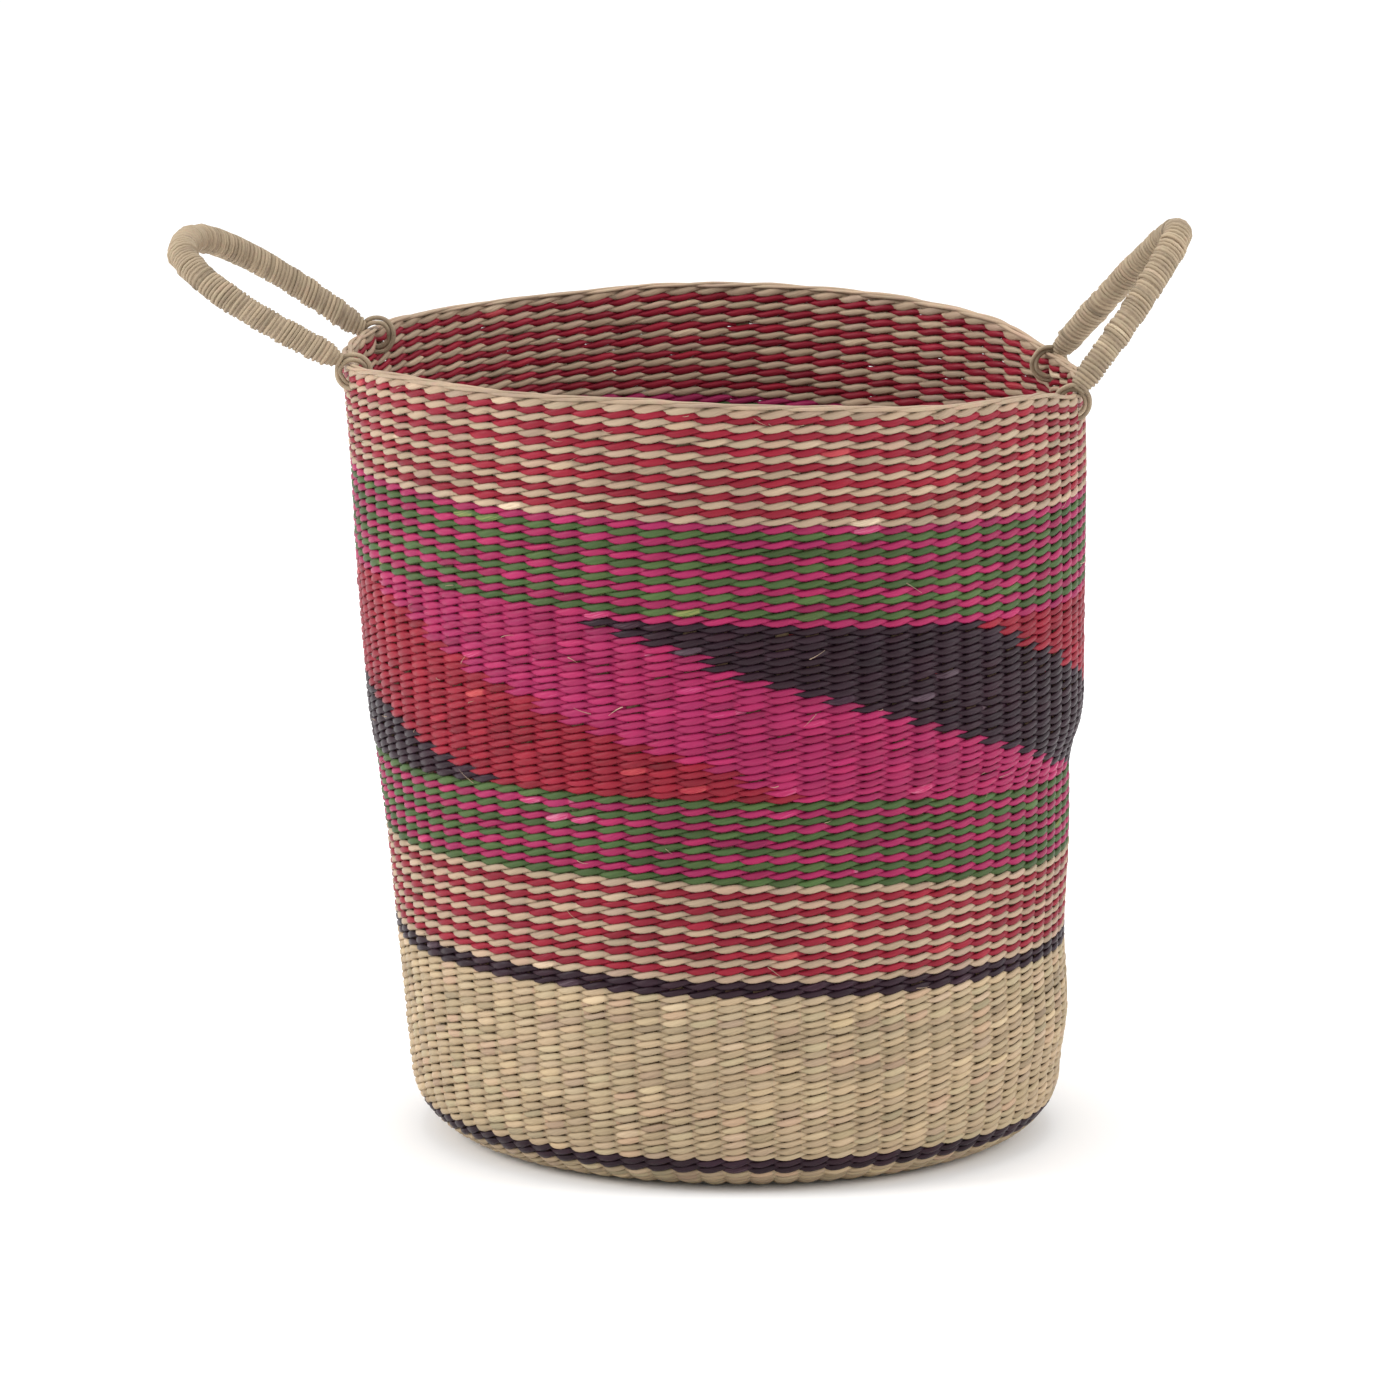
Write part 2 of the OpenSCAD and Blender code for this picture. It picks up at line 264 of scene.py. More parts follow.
def finish(name):
    """The material of that name, made at its first use."""
    if name in MADE:
        return MADE[name]
    colours = bpy.context.scene.basket_colours
    if name == "natural":
        # Undyed seagrass, dried in the sun: khaki to straw, with a few bleached blades.
        made = seagrass("dried_seagrass", colours.natural, 0.5, 1.3, linear("#c4ae8e"))
    elif name == "pale":
        # Bleached seagrass: cream, a little pink from the dye beside it.
        made = seagrass("bleached_seagrass", colours.pale, 0.55, 1.25, linear("#d3bea2"), 0.5, hues=0.1)
    elif name == "red":
        # Dip-dyed seagrass: deep where the dye took, lighter on the blade's smooth face.
        made = seagrass("red_dyed_seagrass", colours.red, 0.5, 1.35, linear("#ab4246"), 0.45)
    elif name == "pink":
        # Dip-dyed seagrass: bright magenta that fades towards rose on the high spots.
        made = seagrass("pink_dyed_seagrass", colours.pink, 0.5, 1.35, linear("#ba6a86"), 0.45)
    elif name == "green":
        # Dip-dyed seagrass: leaf green over the straw colour, so it leans to olive.
        made = seagrass("green_dyed_seagrass", colours.green, 0.5, 1.45, linear("#85884f"), 0.5)
    elif name == "aubergine":
        # Dip-dyed seagrass, nearly black: what the eye sees is its soft satin shine.
        made = seagrass(
            "aubergine_dyed_seagrass", colours.aubergine, 0.5, 1.6, linear("#55444c"), 0.42
        )
    elif name == "twine":
        # Two-ply seagrass twine: duller and greyer than the blades, with fine hairs.
        made = seagrass("seagrass_twine", colours.twine, 0.38, 1.3, linear("#d2c4a8"), 0.6, 1.2, 0.06)
    else:
        # Split seagrass stakes, seen only in the gaps: coloured darker than the natural blades as painted shade for
        # those gaps.
        made = seagrass("split_seagrass_stakes_darkened_as_gap_shade", colours.stake, 0.6, 1.2, linear("#94805f"), 0.65)
    MADE[name] = made
    return made


# ---------- the shell ----------

# Radius of the wall's outer face by height, and how far its right side stands out, in mm.
OUTLINE = (
    (34, 166.8), (60, 170.6), (105, 171.9), (150, 175.2), (197, 178.0), (218, 183.6), (300, 186.7),
    (370, 188.4), (410, 190.0),
)
RIGHT_BULGE = (
    (34, 1.4), (65, 3.3), (105, 1.2), (150, 1.8), (199, 0.8), (217, 3.2), (240, 3.2), (300, 2.5),
    (350, 2.2), (410, 0.6),
)
# Courses lean and sag: how much higher the left is, and how much lower both sides are, in mm.
SIDE_LIFT = ((0, 0), (104, -2.5), (163, -5.5), (206, -5), (296, -7.2), (347, -6.5), (410, -8))
# How much higher the mouth stands than an even curve, round from the right, in degrees and mm.
MOUTH_RISE = (
    (-14, 1), (5, 3), (24, 3), (38, 7.5), (60, 4), (76, 1.4), (92, -1.5), (108, -4.6), (126, -4.4),
    (150, 0.5), (195, 0.3), (211, 4.7), (240, 1), (270, 0), (300, 2), (318, 5), (333, 6.5),
    (346, 1),
)
SIDE_SAG = ((0, 0), (104, 0.5), (163, 4.2), (206, 5), (296, 2.7), (347, 2), (410, 8))
HEIGHTS = np.arange(-20.0, 440.0, 1.0)


def smoothed(stations, reach=19):
    """The stations' values at each of HEIGHTS, with the corners between them rounded."""
    where, values = zip(*stations)
    raw = np.interp(HEIGHTS, where, values)
    padded = np.pad(raw, reach // 2, mode="edge")
    return np.convolve(padded, np.ones(reach) / reach, mode="valid")


CURVES = {
    "outline": smoothed(OUTLINE), "bulge": smoothed(RIGHT_BULGE),
    "lift": smoothed(SIDE_LIFT, 31), "sag": smoothed(SIDE_SAG, 31),
}


ROUND = np.arange(0, 360, 1) * TAU / 360
MOUTH = np.interp(np.arange(-370, 730) % 360, *zip(*sorted((a % 360, v) for a, v in MOUTH_RISE)),
                  period=360)
MOUTH = np.convolve(MOUTH, np.ones(9) / 9, mode="same")[370:730]


def curve(name, height):
    return np.interp(height, HEIGHTS, CURVES[name])


def unit(vectors):
    return vectors / np.linalg.norm(vectors, axis=-1, keepdims=True)


def turn_length():
    """Way along the turn, from the base's flat to the wall."""
    return math.pi / 2 * bpy.context.scene.basket_shape.turn_radius / MM


def way_at(height):
    """Way along the shell from the edge of the flat, for a height in mm."""
    turn = bpy.context.scene.basket_shape.turn_radius / MM
    if height < turn:
        return turn * math.acos(1 - height / turn)
    return turn_length() + height - turn


def outer_face(way, angle):
    """Points of the outer face, in mm. The way is negative on the base and grows up the wall."""
    shape = bpy.context.scene.basket_shape
    turn, flat = shape.turn_radius / MM, shape.base_radius / MM
    arc = np.clip(way / turn, 0, math.pi / 2)
    climb = np.maximum(way - turn_length(), 0)
    height = turn * (1 - np.cos(arc)) + climb
    fade = np.clip(height / 45, 0, 1)
    waves = np.cos(3 * angle + 1 + 0.011 * height) + 0.6 * np.cos(7 * angle + 2.1 - 0.02 * height)
    waves += 0.4 * np.cos(13 * angle + 0.5 + 0.035 * height)
    ripple = np.cos(5 * angle + 0.7 + 0.02 * height) + 0.6 * np.cos(11 * angle - 0.03 * height)
    rise = height + curve("lift", height) * np.cos(angle)
    rise = rise - curve("sag", height) * (1 + np.cos(2 * angle)) + 0.3 * fade * ripple
    # The flat of the base stands a little off the floor, on its turn.
    rise = rise + 0.6 * np.clip(-way / 10, 0, 1)
    near_mouth = np.clip((height - 347) / 61, 0, 1)
    rise = rise + near_mouth * np.interp(angle, ROUND, MOUTH, period=TAU)
    reach = flat + np.minimum(way, 0) + turn * np.sin(arc)
    wall = curve("outline", rise) + curve("bulge", rise) * np.cos(angle)
    reach = np.where(climb > 0, reach + wall - curve("outline", turn) - curve("bulge", turn) * np.cos(angle), reach)
    reach = reach + shape.waviness / MM * fade * waves
    return np.stack(
        [reach * np.cos(angle) - shape.lean * rise, reach * np.sin(angle), rise], axis=-1
    )


def shell(way, angle):
    """Points of the outer face, the way's direction (shorter where courses crowd), and outward."""
    step = 0.5
    above, below = outer_face(way + step, angle), outer_face(way - step, angle)
    along = (above - below) / (2 * step)
    around = np.stack([-np.sin(angle), np.cos(angle), np.zeros_like(angle)], axis=-1)
    return (above + below) / 2, along, unit(np.cross(around, along))


# ---------- strands ----------


class Strand:
    """The middle line of one strand, in mm, with its two half sizes and directions at each ring."""

    def __init__(self, centre, across, outward, half_width, half_thick, tint, closed=False):
        rings = len(centre)
        self.centre, self.across, self.outward = centre, across, outward
        self.half_width = np.broadcast_to(half_width, rings)
        self.half_thick = np.broadcast_to(half_thick, rings)
        self.tint = np.broadcast_to(tint, rings)
        self.closed = closed


def strand_faces(strand, sides):
    """Rings of points of a strand, its faces, and the map of each corner."""
    turn = np.arange(sides) * TAU / sides
    rings = len(strand.centre)
    points = (
        strand.centre[:, None]
        + strand.across[:, None] * np.outer(strand.half_width, np.cos(turn))[..., None]
        + strand.outward[:, None] * np.outer(strand.half_thick, np.sin(turn))[..., None]
    )
    step = np.roll(strand.centre, -1, axis=0) - strand.centre
    total = np.concatenate([[0], np.cumsum(np.linalg.norm(step, axis=1))]) / 10
    ring = np.arange(rings if strand.closed else rings - 1)[:, None]
    side = np.arange(sides)[None]
    after, beside = (ring + 1) % rings, (side + 1) % sides
    faces = np.stack(
        [ring * sides + side, after * sides + side, after * sides + beside, ring * sides + beside],
        axis=-1,
    ).reshape(-1, 4)
    u0, u1 = np.broadcast_arrays(total[ring], total[ring + 1] + 0 * side)
    v0, v1 = np.broadcast_arrays(side / sides + 0 * ring, (side + 1) / sides)
    maps = np.stack(
        [np.stack(pair, axis=-1) for pair in ((u0, v0), (u1, v0), (u1, v1), (u0, v1))], axis=-2
    ).reshape(-1, 4, 2)
    if not strand.closed:
        fan = np.array([[0, 2 * k + 1, 2 * k + 2, 2 * k + 3] for k in range(sides // 2 - 1)])
        ends = np.concatenate([fan, fan[:, ::-1] + (rings - 1) * sides])
        faces = np.concatenate([faces, ends])
        flat = np.zeros((len(ends), 4, 2))
        flat[..., 0], flat[..., 1] = total[0], 0.5
        maps = np.concatenate([maps, flat])
    hand = np.einsum("ij,ij->i", np.cross(strand.outward, strand.across), step)[: rings - 1].sum()
    if hand < 0:
        faces, maps = faces[:, ::-1], maps[:, ::-1]
    return points.reshape(-1, 3), faces, maps


def weave_piece(name, strands, sides, material, body, nodes=()):
    """One mesh of many strands, with its material, its body and the CAD nodes it stands for."""
    points, faces, maps, tints, first = [], [], [], [], 0
    for strand in strands:
        p, f, m = strand_faces(strand, sides)
        points.append(p)
        faces.append(f + first)
        maps.append(m)
        tints.append(np.repeat(strand.tint, sides))
        first += len(p)
    points, faces = np.concatenate(points) * MM, np.concatenate(faces)
    mesh = bpy.data.meshes.new(name)
    mesh.vertices.add(len(points))
    mesh.vertices.foreach_set("co", points.astype(np.float32).ravel())
    mesh.loops.add(faces.size)
    mesh.loops.foreach_set("vertex_index", faces.astype(np.int32).ravel())
    mesh.polygons.add(len(faces))
    mesh.polygons.foreach_set("loop_start", np.arange(0, faces.size, 4, dtype=np.int32))
    mesh.update(calc_edges=True)
    mesh.polygons.foreach_set("use_smooth", np.ones(len(faces), dtype=bool))
    layer = mesh.uv_layers.new(name="fibre")
    layer.data.foreach_set("uv", np.concatenate(maps).astype(np.float32).ravel())
    tint = mesh.attributes.new("tint", "FLOAT", "POINT")
    tint.data.foreach_set("value", np.concatenate(tints).astype(np.float32))
    mesh.validate()
    mesh.materials.append(finish(material))
    piece = bpy.data.objects.new(name, mesh)
    bpy.context.scene.collection.objects.link(piece)
    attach(piece, body)
    if nodes:
        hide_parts(*nodes)
    return piece


def eyes():
    """Centre of each cord eye, from its CAD node, with its hinge's line, in mm."""
    found = {}
    for joint in frame["joints"]:
        side = joint["name"].split("_")[0]
        line = unit(np.array(joint["axis"], float))
        for end in ("front", "back"):
            low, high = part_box(f"{side}_{end}_eye")
            found[side, end] = (np.array((low + high) / 2) / MM, line)
    return found


EYES = eyes()
EYE_DROP = 8.1
EYE_OPENING = 3.4
EYE_REACH = 5.5


def part_at_eyes(points):
    """Pushes strands apart where the eyes' cords pass through the wall."""
    for centre, line in EYES.values():
        hole = points - (centre - UP * EYE_DROP)
        side, up = hole @ line, hole[:, 2]
        out = np.linalg.norm(hole - np.outer(side, line) - np.outer(up, UP), axis=1)
        away = np.hypot(side, up) + 1e-6
        push = EYE_OPENING * np.exp(-((away / EYE_REACH) ** 2)) * (out < 15) / away
        points = points + np.outer(side * push, line) + np.outer(up * push, UP)
    return points


RINGS = 6
BLADE_ODD_SHARE = 0.010


def stitch_tones(rng, shape):
    """A tone for each stitch: most near the middle, a few pale ones."""
    tones = np.clip(rng.normal(0.5, 0.13, shape), 0.05, 0.95)
    return np.where(rng.random(shape) < BLADE_ODD_SHARE, rng.uniform(0.85, 1.05, shape), tones)


def between(values, where):
    """Values given at whole numbers round a ring, read at any place between them."""
    low = np.floor(where).astype(int)
    share = where - low
    count = len(values)
    return values[low % count] * (1 - share) + values[(low + 1) % count] * share


def twined_course(rng, way, spacing, stitches, spans=None, fat=1.0):
    """Both strands of one course: they swap faces between stakes, over each span of stitches."""
    weave = bpy.context.scene.basket_weave
    scale = spacing / (weave.course_height / MM)
    half_wide, half_gap = weave.strand_width / MM / 2 * scale * fat, weave.gap_width / MM / 2 * scale
    thick, depth = weave.strand_thick / MM / 2, weave.depth / MM
    middle = bpy.context.scene.basket_shape.wall_middle / MM
    tones = stitch_tones(rng, (2, stitches))
    tones += rng.normal(0, 0.04)
    widths = rng.normal(1, 0.09, (2, stitches))
    lifts = rng.normal(0, 0.16, (2, stitches)) + rng.normal(0, 0.1)
    pushes = rng.normal(0, 0.12, (2, stitches))
    rises = rng.normal(1, 0.12, (2, stitches))
    strands = []
    for start, count in spans or [(0, stitches)]:
        closed = spans is None
        # At the edge of a field, the strands run on a little and taper off under the next colour.
        more = 0 if closed else 2
        steps = np.arange(-more, count * RINGS + (0 if closed else 1 + more))
        beyond = np.maximum(np.maximum(-steps, steps - count * RINGS), 0) / RINGS
        place = start - 0.5 + steps / RINGS
        angle = place * TAU / stitches
        for ply in (0, 1):
            swing, climb = np.cos(math.pi * (place + ply)), np.sin(math.pi * (place + ply))
            belly = np.abs(swing) ** 1.25
            width = (half_gap + (half_wide - half_gap) * belly) * between(widths[ply], place)
            width = width * (1 - 2.3 * beyond)
            rise = weave.rise / MM * scale * climb * between(rises[ply], place)
            face, along, out = shell(way + rise + between(lifts[ply], place), angle)
            stand = depth * np.sign(swing) * np.abs(swing) ** 0.72 * (beyond == 0)
            stand = stand + between(pushes[ply], place) * belly * np.sign(swing)
            centre = part_at_eyes(face + out * (stand - middle)[:, None])
            tint = tones[ply][np.floor(place + 0.5).astype(int) % stitches]
            ends = 1.0 + 0.25 * (1 - belly)
            strands.append(Strand(centre, along, out, width, thick * ends, tint, closed))
    return strands


def seeded(offset):
    return np.random.default_rng(bpy.context.scene.basket_weave.seed * 1000 + offset)


# Courses of each band, from its lower to its upper edge in mm of height.
BANDS = {
    "foot": (0, 10, 6),
    "lower_dark": (10, 17.84, 2),
    "natural": (17.84, 104.08, 22),
    "upper_dark": (104.08, 111.92, 2),
    "lower_red": (111.92, 162.88, 13),
    "lower_green": (162.88, 206.0, 11),
    "pattern": (206.0, 296.16, 23),
    "upper_green": (296.16, 347.12, 13),
    "upper_red": (347.12, 402.0, 14),
}


def courses(band):
    """Way and spacing of each course of a band."""
    low, high, count = BANDS[band]
    start, stop = way_at(low), way_at(high)
    spacing = (stop - start) / count
    return [(start + (i + 0.5) * spacing, spacing) for i in range(count)]


def weave_band(name, band, pick, material, nodes=(), seed=0):
    """Weaves the courses of a band that pick lets through, as one piece."""
    stakes = bpy.context.scene.basket_weave.stake_count
    strands = []
    for i, (way, spacing) in enumerate(courses(band)):
        if pick(i):
            strands += twined_course(seeded(seed + i), way, spacing, stakes)
    return weave_piece(name, strands, 6, material, "basket", nodes)


# ---------- operators ----------


class BASKET_OT_stakes(bpy.types.Operator):
    """Lays the stakes from the base up to the border"""

    bl_idname = "basket.stakes"
    bl_label = "Stakes"

    def execute(self, context):
        stakes = context.scene.basket_weave.stake_count
        half = context.scene.basket_weave.stake_width / MM / 2
        middle = context.scene.basket_shape.wall_middle / MM
        flat = context.scene.basket_shape.base_radius / MM
        rng = seeded(1)
        strands = []

        def stake(angle, start, stop, steps, wide):
            way = np.linspace(start, stop, steps)
            turn = np.full(steps, angle)
            face, along, out = shell(way, turn)
            around = unit(np.cross(unit(along), out))
            centre = part_at_eyes(face - out * middle)
            strands.append(Strand(centre, around, out, wide, 0.7, rng.normal(0.5, 0.12)))

        for i in range(12):
            stake(i * TAU / 12, 3 - flat, 31 - flat, 4, 1.3)
        for i in range(stakes):
            start = 29 - flat if i % 2 == 0 else 94 - flat
            stake(i * TAU / stakes, start, -4, 8, half * 0.7)
            stake(i * TAU / stakes, -5, way_at(404), 60, half * 0.9)
        # The stakes' darkened colour is painted shade for the gaps between the strands.
        weave_piece(
            "woven_in_stakes", strands, 6, "stake", "basket",
            ("wall_stakes", "base_spokes", "base_start"),
        )
        return {"FINISHED"}


def stitches_at(radius, stakes):
    """Stitches in a course of the base: the spokes are split as the base grows."""
    if radius < 10:
        return 6
    if radius < 30:
        return 12
    return stakes // 2 if radius < 96 else stakes


class BASKET_OT_base(bpy.types.Operator):
    """Twines the flat of the base round its spokes"""

    bl_idname = "basket.base"
    bl_label = "Base"

    def execute(self, context):
        flat = context.scene.basket_shape.base_radius / MM
        stakes = context.scene.basket_weave.stake_count
        spacing = context.scene.basket_weave.course_height / MM
        rim, middle = [], []
        for i in range(int(flat // spacing)):
            way = -(i + 0.5) * spacing
            stitches = stitches_at(flat + way, stakes)
            part = rim if stitches == stakes else middle
            part += twined_course(seeded(50 + i), way, spacing, stitches)
        for name, strands, node in (
            ("twined_base_rim", rim, "base_underside"), ("twined_base_middle", middle, "base_floor")
        ):
            weave_piece(name, strands, 6, "natural", "basket", (node,))
        return {"FINISHED"}


class BASKET_OT_natural_courses(bpy.types.Operator):
    """Twines the undyed foot and the deep undyed band"""

    bl_idname = "basket.natural_courses"
    bl_label = "Natural band"

    def execute(self, context):
        weave_band("twined_foot", "foot", lambda i: True, "natural", ("foot_turn",), 100)
        weave_band(
            "twined_natural_lower", "natural", lambda i: i < 11, "natural",
            ("natural_band_outer",), 120,
        )
        weave_band(
            "twined_natural_upper", "natural", lambda i: i >= 11, "natural",
            ("natural_band_inner",), 120,
        )
        return {"FINISHED"}


class BASKET_OT_dark_lines(bpy.types.Operator):
    """Twines the two aubergine lines under and over the natural band"""

    bl_idname = "basket.dark_lines"
    bl_label = "Dark lines"

    def execute(self, context):
        weave_band(
            "twined_lower_dark_line", "lower_dark", lambda i: True, "aubergine",
            ("lower_dark_line",), 150,
        )
        weave_band(
            "twined_upper_dark_line", "upper_dark", lambda i: True, "aubergine",
            ("upper_dark_line_outer", "upper_dark_line_inner"), 160,
        )
        return {"FINISHED"}


class BASKET_OT_stripes(bpy.types.Operator):
    """Twines the four striped bands, one piece for each colour of each band"""

    bl_idname = "basket.stripes"
    bl_label = "Striped bands"

    def execute(self, context):
        # Band, CAD band, colour and slot of its first and second courses, and its seed
        pale = ("pale", "natural_seagrass")
        red, pink = ("red", "red_seagrass"), ("pink", "pink_seagrass")
        green = ("green", "green_seagrass")
        for band, first, second, seed in (
            ("lower_red", pale, red, 200), ("lower_green", green, pink, 220),
            ("upper_green", pink, green, 240), ("upper_red", pale, red, 260),
        ):
            for parity, (tone, slot) in enumerate((first, second)):
                face = ("outer", "inner")[parity]
                weave_band(
                    f"twined_{band}_band_{tone}", band, lambda i: i % 2 == parity, tone,
                    (f"{band}_stripes_{face}",), seed,
                )
        return {"FINISHED"}


# Edges of the slanting fields, as degrees round the wall at the band's foot, middle and top.
# The fields come twice round the wall.
FIELD_EDGES = {
    "pink": (285, 237, 198),
    "aubergine": (353.5, 294.5, 247.5),
    "red": (411, 354.5, 313.5),
}
FIELDS = (("pink", "pink_seagrass"), ("aubergine", "aubergine_seagrass"), ("red", "red_seagrass"))


def field_of(angle, share):
    """Colour of the slanting field at an angle in degrees, at a share of the band's height."""
    found, nearest = None, 1e9
    for tone, edges in FIELD_EDGES.items():
        edge = np.interp(share, (0, 0.5, 1), edges)
        behind = (angle - edge) % 180
        if behind < nearest:
            found, nearest = tone, behind
    return found


class BASKET_OT_slanting_fields(bpy.types.Operator):
    """Twines the middle band, whose pink, aubergine and red fields step one stitch a course"""

    bl_idname = "basket.slanting_fields"
    bl_label = "Slanting fields"

    def execute(self, context):
        stakes = context.scene.basket_weave.stake_count
        strands = {tone: [] for tone, slot in FIELDS}
        rows = courses("pattern")
        for i, (way, spacing) in enumerate(rows):
            share = (i + 0.5) / len(rows)
            tones = [field_of(j * 360 / stakes, share) for j in range(stakes)]
            starts = [j for j in range(stakes) if tones[j] != tones[j - 1]]
            for k, start in enumerate(starts):
                count = (starts[(k + 1) % len(starts)] - start) % stakes
                strands[tones[start]] += twined_course(
                    seeded(300 + i), way, spacing, stakes, [(start, count)]
                )
        nodes = {"pink": ("pattern_band_outer",), "aubergine": ("pattern_band_inner",)}
        for tone, slot in FIELDS:
            weave_piece(
                f"twined_slanting_{tone}", strands[tone], 6, tone, "basket",
                nodes.get(tone, ()),
            )
        return {"FINISHED"}


class BASKET_OT_border(bpy.types.Operator):
    """Twines the pale border course and lays the turned-down stake ends along the top"""

    bl_idname = "basket.border"
    bl_label = "Border"

    def execute(self, context):
        stakes = context.scene.basket_weave.stake_count
        middle = context.scene.basket_shape.wall_middle / MM
        strands = twined_course(seeded(400), way_at(403.6), 4.3, stakes, fat=1.05)
        rng = seeded(401)
        # Three bundles of stake ends twist slowly along the top, six stakes to a turn.
        rings = stakes * 5
        place = np.arange(rings) / 5
        angle = place * TAU / stakes
        for ply in range(3):
            turn = TAU * (round(stakes / 6) * place / stakes + ply / 3)
            wander = between(rng.normal(0, 0.18, stakes), place)
            face, along, out = shell(way_at(406.5) + 0.6 * np.sin(turn) + wander, angle)
            side = (1.9 * np.cos(turn) - middle + wander)[:, None]
            tint = between(stitch_tones(rng, stakes // 2), place / 2)
            wide = 1.0 + between(rng.normal(0, 0.1, stakes), place)
            strands.append(Strand(face + out * side, along, out, wide, 1.3, tint, True))
        weave_piece(
            "turned_down_border", strands, 6, "pale", "basket",
            ("rim_border",),
        )
        return {"FINISHED"}


class BASKET_OT_loose_fibres(bpy.types.Operator):
    """Adds the few frayed fibres that stand off the weave"""

    bl_idname = "basket.loose_fibres"
    bl_label = "Loose fibres"

    def execute(self, context):
        rng = seeded(500)
        strands = []
        for i in range(230):
            inside = rng.random() < 0.3
            height = rng.choice([rng.uniform(30, 405), rng.uniform(398, 406)], p=[0.8, 0.2])
            angle = rng.uniform(0, TAU)
            face, along, out = shell(np.array([way_at(height)]), np.array([angle]))
            face, along, out = face[0], unit(along[0]), out[0] * (-1 if inside else 1)
            # None stands where a cord eye turns.
            if min(np.linalg.norm(face - centre) for centre, line in EYES.values()) < 24:
                continue
            if inside:
                face = face + out * 5.6
            run = unit(np.cross(along, out)) * rng.choice((-1, 1)) + along * rng.normal(0, 0.5)
            reach, stand = rng.uniform(3, 9), rng.uniform(0.6, 2.4)
            share = np.linspace(0, 1, 6)[:, None]
            centre = face - out * 0.4 + run * reach * share + out * stand * np.sin(share * 2.2)
            centre = centre + along * rng.normal(0, 1.2) * share**2
            taper = rng.uniform(0.16, 0.3) * (1 - 0.75 * share[:, 0])
            strands.append(
                Strand(centre, np.tile(along, (6, 1)), np.tile(out, (6, 1)), taper, taper * 0.6,
                       rng.uniform(0.4, 1.0))
            )
        weave_piece("loose_fibres", strands, 4, "pale", "basket")
        return {"FINISHED"}


def hinge_axes(side):
    """Hinge point and line of a handle, upright and outward across it, and its half span, in mm."""
    front, line = EYES[side, "front"]
    back = EYES[side, "back"][0]
    upright = unit(UP - line * (UP @ line))
    outward = np.cross(line, upright)
    middle = (front + back) / 2
    if outward @ middle < 0:
        outward = -outward
    line = unit(front - back)
    return middle, line, upright, outward, np.linalg.norm(front - back) / 2


def grip_line(side, clear):
    """Evenly spaced points of a grip's middle line, their directions and the loop's flat normal."""
    sizes = bpy.context.scene.basket_handles
    height, fullness = getattr(sizes, f"{side}_height") / MM, getattr(sizes, f"{side}_fullness")
    tilt = getattr(sizes, f"{side}_tilt")
    middle, line, upright, outward, half = hinge_axes(side)
    rise = math.cos(tilt) * upright + math.sin(tilt) * outward
    turn = np.linspace(0, math.pi, 3001)
    x = half * np.sign(np.cos(turn)) * np.abs(np.cos(turn)) ** (2 / fullness)
    y = height * np.sin(turn) ** (2 / fullness)
    way = np.concatenate([[0], np.cumsum(np.hypot(np.diff(x), np.diff(y)))])
    even = np.arange(0, way[-1], 0.5)
    x, y = np.interp(even, way, x), np.interp(even, way, y)
    # Rounds the tip, which a low fullness leaves pointed.
    reach = 41
    for _ in range(2):
        x[reach:-reach] = np.convolve(x, np.ones(reach) / reach, "same")[reach:-reach]
        y[reach:-reach] = np.convolve(y, np.ones(reach) / reach, "same")[reach:-reach]
    keep = y > clear
    points = middle + np.outer(x[keep], line) + np.outer(y[keep], rise)
    if side == "right":
        # The front leg leans in over the border.
        share = np.linspace(0, 1, len(points))
        points = points - np.outer(2.2 * np.exp(-((share / 0.2) ** 2)), outward)
    if side == "left":
        # The legs bow apart, and the front one is tied a little higher than the back one.
        share = np.linspace(0, 1, len(points))
        points = points + np.outer(2.3 * np.sin(TAU * share), np.cross(line, rise))
        points = points + np.outer(1.5 * np.exp(-((share / 0.17) ** 2)), UP)
        points = points - np.outer(1.5 * np.exp(-(((1 - share) / 0.17) ** 2)), UP)
    return points, unit(np.gradient(points, axis=0)), unit(np.cross(line, rise))


def grip_radius(sizes, count):
    """Half thickness of the wrapped grip at each point: thin at the eyes, thickest at its middle."""
    leg, grip = sizes.leg_thick / MM / 2, sizes.grip_thick / MM / 2
    share = np.linspace(0, 1, count)
    full = leg + (grip - leg) * np.sin(math.pi * share) ** 0.8
    end = np.minimum(np.arange(count), np.arange(count)[::-1]) * 0.5
    return full * (0.53 + 0.47 * np.clip(end / 7.5, 0, 1) ** 0.7)


